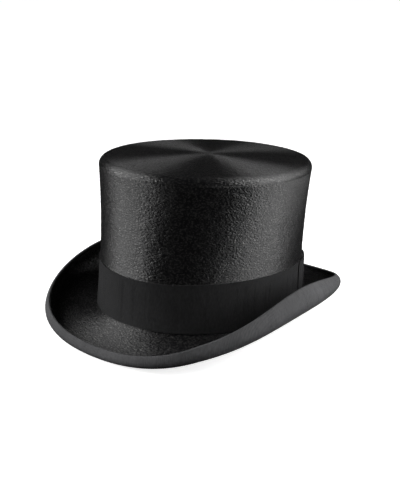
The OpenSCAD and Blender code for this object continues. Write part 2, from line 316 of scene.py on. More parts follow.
def disc_solid(name, outer, inner):
    """A closed disc: outer[j] and inner[j] are rings of points from the rim towards the middle.

    The UV map has the distance from the middle as U and the turn round it as V.
    """
    columns = outer.shape[1]
    rings = np.concatenate([outer[::-1], inner])
    middles, radii = [], []
    for half in (outer, inner):
        middles.append(half[-1].mean(0))
        inwards = steps_along(half, 0)
        radii.append(inwards[-1] - inwards + np.linalg.norm(half[-1] - middles[-1], axis=-1).mean())
    radius = np.concatenate([radii[0][::-1], radii[1]])
    uv = np.stack(np.meshgrid(radius, np.arange(columns + 1) / columns, indexing="ij"), -1)
    quads, quad_uvs = cells(closed(numbered(len(rings), columns), 1))[:, ::-1], cells(uv)[:, ::-1]
    k = np.arange(columns)
    fan_v = np.stack([k, k + 1, k + 0.5], -1) / columns
    fans, fan_uvs = [], []
    for side, order in enumerate((1, -1)):
        first = side * (len(rings) - 1) * columns
        middle = np.full(columns, len(rings) * columns + side)
        fan_u = np.tile([radii[side][-1], radii[side][-1], 0], (columns, 1))
        fans.append(np.stack([first + k, first + (k + 1) % columns, middle], -1)[:, ::order])
        fan_uvs.append(np.stack([fan_u, fan_v], -1)[:, ::order])
    points = np.concatenate([rings.reshape(-1, 3), middles])
    return piece_from(name, points, [quads, np.concatenate(fans)], [quad_uvs, np.concatenate(fan_uvs)])


# No thread runs along this way, so it can be crossed with each
SKEW_WAY = [0.31, 0.43, 0.85]


def threads(name, paths, radius, sides=6):
    """Short threads with rounded ends, one along each path of points, as one piece."""
    points, faces, uvs = [], [], []
    first = 0
    for path in paths:
        path = np.asarray(path)
        count = len(path)
        run = unit(np.gradient(path, axis=0))
        side = unit(np.cross(run, SKEW_WAY))
        other = np.cross(run, side)
        thick = radius * np.sqrt(1 - np.linspace(-0.93, 0.93, count) ** 6)
        for s in range(sides):
            turn = 2 * math.pi * s / sides
            points.append(path + thick[:, None] * (math.cos(turn) * side + math.sin(turn) * other))
        tube = cells(closed(numbered(sides, count), 0))
        faces.append(first + tube)
        uvs.append(np.stack([tube % count, tube // count], -1) * radius)
        ends = np.arange(sides) * count
        for end, order in ((ends, 1), (ends + count - 1, -1)):
            fan = np.stack([np.full(sides - 2, end[0]), end[2:], end[1:-1]], -1)[:, ::order]
            faces.append(first + fan)
            uvs.append(np.zeros((sides - 2, 3, 2)))
        first += count * sides
    return piece_from(name, np.concatenate(points), faces, uvs)


def streaks(rings, rows, ring_length, row_length=0.7):
    """Smooth seeded noise with mean 0 and spread 1: rings go round the hat and join up, rows lie across it.

    ring_length and row_length are how far the noise holds together, in steps of the grid.
    """
    noise = np.fft.rfft(rng.normal(size=(rings, rows)), axis=0)
    noise *= np.exp(-0.5 * (2 * math.pi * np.fft.rfftfreq(rings) * ring_length) ** 2)[:, None]
    noise = np.fft.irfft(noise, n=rings, axis=0)
    reach = np.arange(-4, 5)
    kernel = np.exp(-0.5 * (reach / row_length) ** 2)
    padded = np.pad(noise, ((0, 0), (4, 4)), mode="wrap")
    noise = sum(weight * padded[:, 4 + r:4 + r + rows] for weight, r in zip(kernel, reach))
    return noise / noise.std()


def fade(rows, share=0.06):
    """Weights that fall to 0 at both ends of a run of rows."""
    place = np.linspace(0, 1, rows)
    return np.clip(np.minimum(place, 1 - place) / share, 0, 1)


def mesh_area(points):
    """Area of an open grid of points."""
    a, b, c, d = cells(points).swapaxes(0, 1)
    halves = np.cross(d - a, b - a), np.cross(b - c, d - c)
    return float(sum(np.linalg.norm(half, axis=-1) for half in halves).sum() / 2)


# ---- materials ----

# Linear colours of the plush: deep in the hair, on the hair, and on the glossy tips
PLUSH_BLACK = (0.0022, 0.0022, 0.0024)
PLUSH_LIGHT = (0.006, 0.0058, 0.0065)
PLUSH_SHINE = (0.095, 0.094, 0.092)


def add(tree, kind, inputs=None, output=0, **settings):
    """Adds a node, with values or other nodes' outputs on its inputs, and returns one output."""
    made = tree.nodes.new("ShaderNode" + kind)
    for key, value in settings.items():
        setattr(made, key, value)
    for key, value in (inputs or {}).items():
        if isinstance(value, bpy.types.NodeSocket):
            tree.links.new(value, made.inputs[key])
        else:
            made.inputs[key].default_value = value
    return made.outputs[output]


def ramp(tree, value, dark, light, start=0.3, end=0.7):
    """A colour that goes from dark to light as the value goes from start to end."""
    made = tree.nodes.new("ShaderNodeValToRGB")
    tree.links.new(value, made.inputs[0])
    for element, place, colour in zip(made.color_ramp.elements, (start, end), (dark, light)):
        element.position = place
        element.color = (*colour, 1)
    return made.outputs[0]


def spread_value(tree, value, low, high, start=0.3, end=0.7):
    """Takes a value from the range start to end, where most noise lies, to the range low to high."""
    return add(tree, "MapRange", {0: value, 1: start, 2: end, 3: low, 4: high})


def mottled(tree, colour, value, low, high):
    """A colour made darker or lighter by a noise value."""
    shade = spread_value(tree, value, low, high)
    return add(tree, "MixRGB", {0: 1.0, 1: colour, 2: shade}, blend_type="MULTIPLY")


def new_material(name, **fixed):
    """A material and its node tree, with fixed values on the shader's own sockets."""
    material = bpy.data.materials.new(name)
    material.use_nodes = True
    tree = material.node_tree
    for key, value in fixed.items():
        socket = key.replace("_", " ").title().replace("Ior", "IOR")
        tree.nodes["Principled BSDF"].inputs[socket].default_value = value
    return material, tree


def link_looks(material, colour, rough, normal):
    """Links what varies over a material to its shader."""
    tree = material.node_tree
    shader = tree.nodes["Principled BSDF"]
    tree.links.new(colour, shader.inputs["Base Color"])
    tree.links.new(rough, shader.inputs["Roughness"])
    tree.links.new(normal, shader.inputs["Normal"])
    return material


def link_tangent(tree):
    """Makes the sheen stretch along the cloth map's U."""
    tangent = add(tree, "Tangent", direction_type="UV_MAP", uv_map="cloth")
    tree.links.new(tangent, tree.nodes["Principled BSDF"].inputs["Tangent"])


def object_place(tree):
    return add(tree, "TexCoord", output="Object")


def noise(tree, scale, detail, roughness=0.5, vector=None):
    vector = vector or object_place(tree)
    inputs = {"Vector": vector, "Scale": scale, "Detail": detail, "Roughness": roughness}
    return add(tree, "TexNoise", inputs)


def laid_noise(tree, turns, across, detail, centre=(0, 0), roughness=0.5):
    """Noise that joins up round the hat. turns sets its detail round the centre, and across that along U."""
    flat = add(tree, "VectorMath", {0: object_place(tree), 1: (*centre, 0)}, operation="SUBTRACT")
    flat = add(tree, "VectorMath", {0: flat, 1: (1, 1, 0)}, operation="MULTIPLY")
    way = add(tree, "VectorMath", {0: flat}, operation="NORMALIZE")
    scaled = add(tree, "VectorMath", {0: way, "Scale": turns}, operation="SCALE")
    uv = add(tree, "UVMap", uv_map="cloth")
    rise = add(tree, "VectorMath", {0: uv, 1: (across, 0, 0)}, operation="MULTIPLY")
    rise = add(tree, "CombineXYZ", {2: add(tree, "SeparateXYZ", {0: rise})})
    place = add(tree, "VectorMath", {0: scaled, 1: rise}, operation="ADD")
    return noise(tree, 1.0, detail, roughness, place)


def bump(tree, height, distance, strength=1.0, normal=None):
    inputs = {"Height": height, "Distance": distance, "Strength": strength}
    if normal:
        inputs["Normal"] = normal
    return add(tree, "Bump", inputs)


def plush_material(name, centre=(0, foot_centre[1]), specular=0.5, lay=0.0, dull_top=0.0):
    """Black plush: hair laid round the hat, so its sheen stretches across the hair.

    The tips of some tufts are glossier, which speckles the sheen. lay turns the hair. dull_top adds roughness
    near the crown's top.
    """
    material, tree = new_material(
        name, roughness=0.45, anisotropic=0.97, anisotropic_rotation=lay, specular_ior_level=specular,
    )
    hair = laid_noise(tree, 26, 1500, 3.0, centre, 0.6)
    specks = laid_noise(tree, 46, 760, 1.0, centre)
    tips = laid_noise(tree, 62, 900, 1.0, centre)
    tufts = laid_noise(tree, 9, 260, 2.0, centre)
    brushing = laid_noise(tree, 2.2, 40, 1.0, centre)
    colour = ramp(tree, hair, PLUSH_BLACK, PLUSH_LIGHT)
    colour = mottled(tree, colour, tufts, 0.75, 1.2)
    bright_tips = spread_value(tree, tips, 0.0, 0.85, start=0.54, end=0.66)
    colour = add(tree, "MixRGB", {0: bright_tips, 1: colour, 2: (*PLUSH_SHINE, 1)})
    tree.links.new(bright_tips, tree.nodes["Principled BSDF"].inputs["Metallic"])
    uneven = spread_value(tree, specks, -0.07, 0.06), spread_value(tree, tufts, 0.43, 0.48)
    rough = add(tree, "Math", {0: uneven[0], 1: uneven[1]})
    height = add(tree, "SeparateXYZ", {0: object_place(tree)}, output=2)
    dull = spread_value(tree, height, 0.0, dull_top, start=0.1, end=0.14)
    rough = add(tree, "Math", {0: rough, 1: dull})
    smoother = add(tree, "Math", {0: bright_tips, 1: 0.14}, operation="MULTIPLY")
    rough = add(tree, "Math", {0: rough, 1: smoother}, operation="SUBTRACT")
    relief = bump(tree, brushing, 0.0016, 0.5)
    relief = bump(tree, tufts, 0.0003, 0.55, relief)
    relief = bump(tree, specks, 0.0005, 1.0, relief)
    relief = bump(tree, hair, 0.00016, 0.8, relief)
    link_tangent(tree)
    return link_looks(material, colour, rough, relief)


def grosgrain_material(name, dark, light, threads_across, rough, specular, sheen):
    """Ribbed ribbon: the ribs are in the mesh, the material has the threads that bind them."""
    material, tree = new_material(
        name, roughness=rough, specular_ior_level=specular, sheen_weight=sheen, sheen_roughness=0.35,
    )
    across = add(tree, "SeparateXYZ", {0: add(tree, "UVMap", uv_map="cloth")})
    wave = add(tree, "Math", {0: across, 1: threads_across * 2 * math.pi}, operation="MULTIPLY")
    wave = add(tree, "Math", {0: wave}, operation="SINE")
    ribs = laid_noise(tree, 75, 300, 2.0)
    broad = noise(tree, 28.0, 3.0)
    colour = mottled(tree, ramp(tree, ribs, dark, light, end=0.72), broad, 0.8, 1.15)
    rough = spread_value(tree, ribs, rough - 0.04, rough + 0.04)
    relief = bump(tree, ribs, 0.00005, 0.5, bump(tree, wave, 0.00003, 0.6))
    return link_looks(material, colour, rough, relief)


def cloth_material(name, dark, light, weave_scale, rough, sheen=0.1):
    """Plain woven cloth with a crossed weave."""
    material, tree = new_material(name, roughness=rough, sheen_weight=sheen, sheen_roughness=0.4)
    uv = add(tree, "UVMap", uv_map="cloth")
    scaled = add(tree, "VectorMath", {0: uv, "Scale": weave_scale * 2 * math.pi}, operation="SCALE")
    sine = add(tree, "VectorMath", {0: scaled}, operation="SINE")
    warp = add(tree, "SeparateXYZ", {0: sine}, output=0)
    weft = add(tree, "SeparateXYZ", {0: sine}, output=1)
    weave = add(tree, "Math", {0: warp, 1: weft}, operation="MULTIPLY")
    slubs = noise(tree, 160.0, 4.0)
    colour = ramp(tree, slubs, dark, light)
    rough = spread_value(tree, slubs, rough - 0.08, rough + 0.08)
    relief = bump(tree, slubs, 0.0002, 0.4, bump(tree, weave, 0.00004, 0.7))
    return link_looks(material, colour, rough, relief)


def satin_material(name, dark, light):
    """Smooth satin: a bright band lies across its threads."""
    material, tree = new_material(
        name, roughness=0.34, anisotropic=0.6, sheen_weight=0.2, sheen_roughness=0.3,
    )
    floats = laid_noise(tree, 420, 90, 2.0)
    stains = noise(tree, 22.0, 4.0)
    colour = ramp(tree, stains, dark, light, start=0.35, end=0.65)
    link_tangent(tree)
    rough = spread_value(tree, floats, 0.28, 0.4)
    return link_looks(material, colour, rough, bump(tree, floats, 0.00005, 0.7))


def leather_material(name, dark, light):
    """Thin glazed leather with a fine grain."""
    material, tree = new_material(name, roughness=0.42, coat_weight=0.15, coat_roughness=0.3)
    place = object_place(tree)
    grain = add(tree, "TexVoronoi", {"Vector": place, "Scale": 1100.0}, feature="SMOOTH_F1")
    creases = add(tree, "TexVoronoi", {"Vector": place, "Scale": 300.0}, feature="DISTANCE_TO_EDGE")
    mottle = noise(tree, 60.0, 5.0, 0.6)
    colour = ramp(tree, mottle, dark, light)
    fold = add(tree, "Math", {0: creases, 1: 0.08}, operation="MINIMUM")
    relief = bump(tree, grain, 0.00012, 0.6, bump(tree, fold, 0.0012, 0.35))
    return link_looks(material, colour, spread_value(tree, mottle, 0.36, 0.52), relief)


def stiff_body_material():
    """Shellac-stiffened cotton, dyed for a black hat: open weave under glassy dark brown varnish."""
    material, tree = new_material("stiffened_cotton", roughness=0.5, coat_weight=0.3, coat_roughness=0.35)
    weave = add(tree, "TexVoronoi", {"Vector": object_place(tree), "Scale": 900.0}, distance="CHEBYCHEV")
    patches = noise(tree, 45.0, 4.0)
    brown = ramp(tree, patches, (0.01, 0.008, 0.006), (0.026, 0.02, 0.015))
    return link_looks(material, brown, spread_value(tree, patches, 0.4, 0.62), bump(tree, weave, 0.0002, 0.5))


def reed_material():
    """The springy cord in its hem: pale, slightly glossy, with long streaks."""
    material, tree = new_material("springy_reed", roughness=0.4)
    streak = laid_noise(tree, 30, 4000, 3.0)
    cream = ramp(tree, streak, (0.42, 0.36, 0.26), (0.58, 0.52, 0.4))
    rough = spread_value(tree, streak, 0.34, 0.5)
    return link_looks(material, cream, rough, bump(tree, streak, 0.00005, 0.6))


def card_material():
    """Thin off-white card with paper fibres and patches of yellowing."""
    material, tree = new_material("ticket_card", roughness=0.75)
    fibres = noise(tree, 900.0, 3.0)
    age = noise(tree, 70.0, 4.0)
    paper = ramp(tree, age, (0.66, 0.59, 0.45), (0.76, 0.72, 0.62), end=0.65)
    rough = spread_value(tree, fibres, 0.68, 0.84)
    return link_looks(material, paper, rough, bump(tree, fibres, 0.00006, 0.6))


def thread_material(name, dark, light):
    """Twisted sewing thread."""
    material, tree = new_material(name, roughness=0.5, sheen_weight=0.15, sheen_roughness=0.4)
    twist = noise(tree, 2500.0, 2.0)
    colour = ramp(tree, twist, dark, light)
    return link_looks(material, colour, spread_value(tree, twist, 0.42, 0.6), bump(tree, twist, 0.00008, 0.7))


# ---- plush ----

def dress(piece, material, slot, *nodes):
    """Gives a piece its material and its body, and hides the CAD nodes it stands for; the slot is not used.
    """
    piece.data.materials.append(material)
    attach(piece, "root")
    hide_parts(*nodes)


PLUSH_RINGS = 900
HAIR_RELIEF = 0.00005

# Round this angle the side hair is brushed aslant, more so the farther it is from this height
SLANT_ANGLE = math.radians(-15)
SLANT_HEIGHT = 0.088
SLANT = 5.0


def make_side_plush(material):
    rows = 100
    foot, top = 0.0001, CROWN_HEIGHT - SOFT_EDGE_R
    a = round_angles(PLUSH_RINGS)[:, None]
    z = np.linspace(foot, top, rows)[None]
    relief = HAIR_RELIEF * streaks(PLUSH_RINGS, rows, 3.0) * fade(rows)
    outer = crown(a, relief, z)
    inner = crown(a, -PLUSH_T, np.linspace(CROWN_HEIGHT - TIP_EDGE_R, foot, 8)[None])
    slanted = (0.5 + 0.5 * np.cos(a - SLANT_ANGLE)) ** 3
    drift = SLANT * slanted * (z - SLANT_HEIGHT) ** 2 / 2
    drift = np.concatenate([drift, np.zeros(inner.shape[:2])], 1)
    piece = round_solid("side_crown_nap", np.concatenate([outer, inner], 1), drift)
    dress(piece, material, "crown_plush", "side_crown_plush")
    length = length_round(outer)


def tip_rings(depth, edge_r, rings):
    """Rings from the foot of the rounded edge over to the swirl, depth below the plush's face."""
    a = round_angles(PLUSH_RINGS)
    shoulder = spread(CROWN_HEIGHT - edge_r)
    made = []
    for turn in np.linspace(0, math.pi / 2, 13 if rings > 20 else 4):
        r = edge_r - depth
        out = shoulder - edge_r + r * math.cos(turn)
        x, y = oval(a, out)
        made.append((x, y, CROWN_HEIGHT - edge_r + r * math.sin(turn)))
    x, y, z = made[-1]
    for share in np.linspace(1, 0, rings + 1)[1:-1]:
        rise = TIP_DOME * (1 - share ** 2)
        made.append((SWIRL[0] + share * (x - SWIRL[0]), SWIRL[1] + share * (y - SWIRL[1]), z + rise))
    return np.stack([on_crown(*ring) for ring in made])


def make_tip_plush(material):
    outer = tip_rings(0, SOFT_EDGE_R, 66)
    relief = HAIR_RELIEF * streaks(PLUSH_RINGS, len(outer), 3.0) * fade(len(outer))
    outer += relief.T[..., None] * crown_axis
    inner = tip_rings(PLUSH_T, TIP_EDGE_R, 6)
    piece = disc_solid("crown_tip_nap", outer, inner)
    dress(piece, material, "tip_plush", "crown_tip_plush")
    mesh_area(outer)


def ring_sheet(face):
    """Works out the area of a ring cut from one sheet, and does nothing with it."""
    area = mesh_area(closed(face, 0))


def make_brim_plush(material):
    rows = 46
    a = round_angles(PLUSH_RINGS)
    places = np.concatenate([np.linspace(BINDING_FOLD_W, BINDING_W, 18), -np.linspace(0.02, 1, rows - 18)])
    relief = HAIR_RELIEF * streaks(PLUSH_RINGS, rows, 3.0) * fade(rows)
    outer = brim_points(a, places, BRIM_T + relief)
    inner = brim_points(a, places[::-6], BRIM_BODY_TOP)
    piece = round_solid("brim_nap", np.concatenate([outer, inner], 1))
    dress(piece, material, "brim_plush", "brim_top_plush")
    ring_sheet(outer)


def make_underbrim(material):
    rings = 720
    a = round_angles(rings)
    places = -np.linspace(0.002, 1, 26)
    outer = brim_points(a, places, 0.0)
    inner = brim_points(a, places[::-5], CLOTH_T)
    piece = round_solid("underbrim_face", np.concatenate([outer, inner], 1))
    dress(piece, material, "underbrim_cloth", "underbrim_cloth")
    ring_sheet(outer)


# ---- ribbons ----

def rib_heights(count, samples):
    """Height, from 0 to 1, of count samples along rounded ribs that have this many samples each."""
    return np.abs(np.sin(math.pi * (np.arange(count) % samples) / samples)) ** 0.7


def make_binding(material):
    """The ribbon over the brim's edge: under face, edge, fold, and back along the inside."""
    ribs, samples, relief = 600, 5, 0.00016
    count = ribs * samples
    a = round_angles(count)
    fold_top = BRIM_BODY_TOP + RIBBON_T
    middle = fold_top / 2
    edge_r, gap = 0.0014, 0.00005
    # Each place is a distance from the edge, a depth up from the under face, and the way its ribs stand out
    under = [(d, 0.0, 0, -1) for d in np.linspace(BINDING_W, edge_r, 12)]
    edge = [
        (edge_r * (1 - math.cos(t)), middle + middle * math.sin(t), -math.cos(t), math.sin(t))
        for t in np.radians(np.linspace(-80, 80, 7))
    ]
    fold = [(d, fold_top, 0, 1) for d in np.linspace(0.0016, BINDING_FOLD_W, 4)]
    over, below = BRIM_BODY_TOP + gap, CLOTH_T - gap
    back = [
        (BINDING_FOLD_W, over, 0, 0), (edge_r, over, 0, 0), (0.001, middle, 0, 0),
        (edge_r, below, 0, 0), (0.011, below, 0, 0), (BINDING_W, below, 0, 0),
    ]
    outline = np.array(under + edge + fold + back)
    lift = relief * (rib_heights(count, samples)[:, None] - 1)
    lift = lift * (1 + 0.18 * streaks(count, 1, 4.0))
    selvedge = np.ones(len(outline))
    selvedge[[0, len(under + edge + fold) - 1]] = 0.25
    lift = lift * selvedge
    distance = outline[:, 0] + lift * outline[:, 2]
    depth = outline[:, 1] + lift * outline[:, 3]
    points = brim_points(a, distance, depth)
    piece = round_solid("binding_ribbon", points)
    dress(piece, material, "binding_grosgrain", "brim_binding")
    length = length_round(points)


def band_top(a):
    """Height of the band's upper edge: highest at the sides."""
    return BAND_W + 0.0007 + 0.0018 * np.cos(2 * a)


def make_band(material):
    ribs, samples, relief = 640, 4, 0.00013
    count = ribs * samples
    a = round_angles(count)[:, None]
    lift = relief * (rib_heights(count, samples)[:, None] - 1)
    lift = lift * (1 + 0.12 * streaks(count, 1, 4.0))
    share = np.linspace(0, 1, 15)[None]
    foot = 0.0009
    z = foot + share * (band_top(a) - foot)
    body = np.clip(np.minimum(share, 1 - share) / 0.03, 0.35, 1)
    wave = 0.00005 * streaks(count, 1, 90.0) * np.sin(math.pi * share)
    rolled_edge = 0.00022 * np.exp(-((1 - share) / 0.012) ** 2)
    outer = crown(a, RIBBON_T + lift * body + (wave + rolled_edge), z)
    inner = crown(a, 0.0, np.linspace(1, 0, 4)[None] * (band_top(a) - foot) + foot)
    piece = round_solid("band_ribbon", np.concatenate([outer, inner], 1))
    dress(piece, material, "band_grosgrain", "hat_band")
    length = length_round(outer)


def ribbon_loop(name, start, end, outs, bulge, heights, outline, rib_pitch, thickness, pinch, rows=13):
    """A flattened loop of ribbon: an inner leaf from start to end, the fold, and an outer leaf back to start.

    Its ribs run up and down across it. pinch gives the share of the height kept along the loop.
    """
    inner_out, outer_out = outs
    leaf = np.linspace(0, 1, 14)
    fold = np.radians(np.linspace(-80, 80, 9))
    radius = (outer_out - inner_out) / 2
    reach = np.sign(end - start) * radius / (SIDE_R if outline is side_arc else END_R)
    angles = np.concatenate([
        start + (end - start) * leaf, end + reach * np.cos(fold), end + (start - end) * leaf,
    ])
    outs = np.concatenate([
        np.full(len(leaf), inner_out), (inner_out + outer_out) / 2 + radius * np.sin(fold),
        outer_out + bulge * np.sin(math.pi * leaf) - 0.35 * radius * leaf ** 3,
    ])
    path = np.stack(outline(angles, outs), -1)
    along = np.concatenate([[0], np.cumsum(np.linalg.norm(np.diff(path, axis=0), axis=-1))])
    samples, relief = 4, 0.00011
    count = max(int(along[-1] / rib_pitch), 4) * samples + 1
    even = np.linspace(0, along[-1], count)
    a = np.interp(even, along, angles)
    centre = np.stack(outline(a, np.interp(even, along, outs)), -1)
    run = unit(np.gradient(centre, axis=0))
    normal = np.stack([run[:, 1], -run[:, 0]], -1)
    rib = relief * (rib_heights(count, samples) - 1)
    middle = (heights[0] + heights[1]) / 2
    keep = np.interp(even / along[-1], *pinch)[:, None]
    z = middle + (np.linspace(*heights, rows)[None] - middle) * keep
    lean_out = np.stack([np.cos(a), np.sin(a)])[..., None] * spread(z)
    grids = []
    for side in (1, -1):
        face = centre + side * normal * (thickness / 2 + rib)[:, None]
        grids.append(on_crown(*(face.T[..., None] + lean_out), z))
    piece = slab(name, *grids)
    piece["flat_length"] = float(along[-1])
    return piece


def make_bow(material):
    """A flat tailored bow on the wearer's left: two folded loops and a knot wrapped over their roots."""
    low, high = 0.0036, BAND_W + 0.0024
    outs, bulge = (0.00103, 0.00147), 0.0004
    rib_pitch, thickness = 0.00095, 0.0004
    knot_room, fold_room = math.radians(0.15), math.radians(0.8)
    pinch = ([0, 0.2, 0.8, 1], [0.93, 1, 1, 0.93])
    for name, node, way in (
        ("front_loop_ribbon", "bow_front_loop", -1), ("rear_loop_ribbon", "bow_rear_loop", 1),
    ):
        start = BOW_ANGLE + way * (KNOT_HALF + knot_room)
        end = BOW_ANGLE + way * (BOW_HALF - fold_room)
        loop = ribbon_loop(
            name, start, end, outs, bulge, (low, high), side_arc, rib_pitch, thickness, pinch,
        )
        dress(loop, material, "band_grosgrain", node)
    rows, columns = 21, 33
    across = np.linspace(-1, 1, columns)
    turn = BOW_ANGLE + KNOT_HALF * 0.97 * np.sin(across * math.pi / 2)[None]
    crown_out = 0.0009 + 0.0020 * np.cos(across * math.pi / 2) ** 0.5
    ribs = 0.0001 * np.cos(np.linspace(0, 10 * math.pi, columns))
    z = np.linspace(0.0034, BAND_W + 0.0026, rows)[:, None]
    roll = 1 - np.abs(np.linspace(-1, 1, rows)[:, None]) ** 12 * 0.35
    outer = crown(turn, (crown_out + ribs) * roll + 0.0001, z, side_arc)
    inner = crown(turn, 0.00085, z, side_arc)
    knot = slab("knot_ribbon", outer, inner)
    dress(knot, material, "band_grosgrain", "bow_knot")


# ---- inside the hat ----

def make_sweatband(material):
    rings, rows = 900, 44
    a = round_angles(rings)[:, None]
    top = SWEATBAND_FOOT + SWEATBAND_W
    share = np.linspace(0, 1, rows)[None]
    z = SWEATBAND_FOOT + share * SWEATBAND_W
    wave = 0.0004 * np.abs(streaks(rings, 1, 26.0)) * share ** 2
    crease = 0.00006 * streaks(rings, rows, 5.0, 1.6)
    line = 0.00022 * np.exp(-((z - top + 0.0045) / 0.0004) ** 2)
    roll = 0.0003 * np.exp(-((1 - share) / 0.02) ** 2)
    inner = crown(a, -LEATHER_IN - wave + line - roll + crease * fade(rows), z)
    outer = crown(a, -LEATHER_OUT - 0.9 * wave[:, ::-4], z[:, ::-4])
    piece = round_solid("sweatband_leather", np.concatenate([inner, outer], 1))
    dress(piece, material, "leather", "sweatband")


def make_reed_tape(material):
    rings = 720
    foot, thickness, top = SWEATBAND_FOOT, 0.0004, 0.012
    outer, wall = -0.0024, -0.0024 - thickness
    spots = np.array([
        (outer, foot), (-LEATHER_OUT, foot), (-LEATHER_OUT, foot + thickness), (wall, foot + thickness),
        (wall, 0.002), (wall, 0.007), (wall, top), (outer, top), (outer, 0.007), (outer, 0.002),
    ])
    ripple = 0.00004 * streaks(rings, len(spots), 3.0)
    points = crown(round_angles(rings)[:, None], spots[:, 0] + ripple, spots[:, 1])
    piece = round_solid("reed_tape_cloth", points)
    dress(piece, material, "cotton_tape", "sweatband_reed_tape")
    length = length_round(points)


def back_patch(name, half, low, high, out_face, in_face, rows, columns, swell):
    """A small piece inside the back of the crown, half its angle each side. Its inner face rises by swell."""
    a = np.linspace(BACK - half, BACK + half, columns)[None]
    z = np.linspace(low, high, rows)[:, None]
    u = np.linspace(-1, 1, columns)[None]
    v = np.linspace(-1, 1, rows)[:, None]
    swell = swell * (1 - u ** 4) * (1 - v ** 4)
    return slab(name, crown(a, -out_face, z), crown(a, -in_face - swell, z))


def make_back_seam(material):
    top = SWEATBAND_FOOT + SWEATBAND_W - 0.001
    half = math.radians(3.5)
    face, swell = LEATHER_IN + 0.00005, 0.00025
    piece = back_patch(
        "back_seam_leather", half, SWEATBAND_FOOT, top, face, SEAM_TAB_IN - swell, 40, 12, swell,
    )
    dress(piece, material, "leather", "sweatband_back_seam")


def end_arc(a, out):
    """Like oval, but on the back arc only."""
    return (END_R + out) * np.cos(a), (END_R + out) * np.sin(a) + ARC_OFFSET


def make_small_bow(material):
    """The little ribbon bow on the back seam."""
    heights = 0.003, 0.012
    outs, bulge = (-SEAM_TAB_IN - 0.0004, -SEAM_TAB_IN - 0.0017), -0.0003
    rib_pitch, thickness = 0.0006, 0.0003
    pinch = ([0, 0.3, 0.7, 1], [0.5, 1, 1, 0.5])
    for name, node, way in (
        ("small_bow_left", "sweatband_bow_left_loop", -1), ("small_bow_right", "sweatband_bow_right_loop", 1),
    ):
        start = BACK + way * math.radians(1.5)
        end = BACK + way * math.radians(8.2)
        loop = ribbon_loop(name, start, end, outs, bulge, heights, end_arc, rib_pitch, thickness, pinch, 9)
        dress(loop, material, "narrow_ribbon", node)
    half = math.radians(1.25)
    knot = back_patch(
        "small_bow_knot", half, 0.0042, 0.0108, SEAM_TAB_IN + 0.00012, SEAM_TAB_IN + 0.0013, 13, 9, 0.0012,
    )
    dress(knot, material, "narrow_ribbon", "sweatband_bow_knot")


def make_forehead_pad(material):
    """The soft pad behind the leather at the forehead: full in the middle, thin at its sewn rim."""
    rows, columns = 36, 90
    u = np.linspace(-1, 1, columns)[None]
    v = np.linspace(-1, 1, rows)[:, None]
    a = math.radians(270) + math.radians(32) * u
    z = 0.025 + 0.017 * v * (1 - 0.12 * np.abs(u) ** 6)
    swell = (1 - u ** 6) * (1 - v ** 4)
    channels = 1 - 0.3 * np.exp(-((np.abs(u) - 0.34) / 0.02) ** 2)
    thick = 0.0002 + 0.0013 * swell * channels
    face = crown(a, -PAD_OUT - 0.0001 - 0 * z, z)
    piece = slab("forehead_cushion", face, crown(a, -PAD_OUT - 0.0001 - thick, z))
    dress(piece, material, "pad_wadding", "forehead_pad")


def make_side_lining(material):
    """The satin wall, gathered towards the tip in soft folds."""
    rings, rows = 1000, 44
    a = round_angles(rings)[:, None]
    foot, top = 0.013, CROWN_HEIGHT - 0.005
    z = np.linspace(foot, top, rows)[None]
    share = (z - foot) / (top - foot)
    folds = np.abs(streaks(rings, 1, 5.0)) * (0.15 + 0.85 * share ** 3)
    folds = folds + 0.4 * np.abs(streaks(rings, rows, 14.0, 2.4))
    inner = crown(a, -LINING_IN - 0.00028 * folds * fade(rows, 0.03), z)
    outer = crown(a, -LINING_OUT, z[:, ::-6])
    piece = round_solid("side_lining_satin", np.concatenate([inner, outer], 1))
    dress(piece, material, "satin", "lining_side")
    length = length_round(inner)


def make_tip_lining(material):
    """The satin disc under the tip, with small puckers round its rim."""
    columns, low, high = 720, CROWN_HEIGHT - 0.0049, CROWN_HEIGHT - 0.0044
    a = round_angles(columns)
    out = spread(CROWN_HEIGHT - TIP_EDGE_R) - LINING_OUT
    x, y = oval(a, out)
    pucker = np.abs(streaks(columns, 1, 4.0)[:, 0])
    under, over = [], []
    for share in np.linspace(1, 0, 42)[:-1]:
        drop = 0.0004 * pucker * math.exp(-((1 - share) / 0.16) ** 2) + 0.0012 * (1 - share ** 2)
        under.append(on_crown(x * share, y * share, low - drop))
    for share in np.linspace(1, 0, 8)[:-1]:
        over.append(on_crown(x * share, y * share, high - 0.0011 * (1 - share ** 2)))
    piece = disc_solid("tip_lining_satin", np.stack(under), np.stack(over))
    dress(piece, material, "satin", "lining_tip")
    mesh_area(np.stack(under))


def make_piping(material):
    """The twisted cord that covers the seam between the two linings."""
    rings, sides, strands, twists = 1600, 12, 3, 150
    a = round_angles(rings)[:, None]
    turn = 2 * math.pi * np.arange(sides)[None] / sides
    phase = 2 * math.pi * twists * np.arange(rings)[:, None] / rings
    radius = 0.0009 * (0.86 + 0.12 * np.abs(np.cos((strands * turn - phase) / 2)))
    out = spread(CROWN_HEIGHT - TIP_EDGE_R) - LINING_IN - 0.0011
    x, y = oval(a, out + radius * np.cos(turn))
    points = on_crown(x, y, CROWN_HEIGHT - 0.006 + radius * np.sin(turn))
    dress(round_solid("piping_cord", points), material, "satin_piping", "lining_piping")


def make_ticket(material):
    top = SWEATBAND_FOOT + SWEATBAND_W + 0.007
    start, end = math.radians(100), math.radians(115)
    rows, columns = 24, 16
    a = np.linspace(start, end, columns)[None]
    z = np.linspace(0.015, top, rows)[:, None]
    curl = 0.0007 * (np.linspace(0, 1, rows)[:, None] ** 4)
    out_face = -PAD_OUT - 0.0006 + 0 * z - curl
    piece = slab("size_ticket_card", crown(a, out_face, z), crown(a, out_face - 0.0003, z))
    dress(piece, material, "card", "size_ticket")


# ---- stitching ----

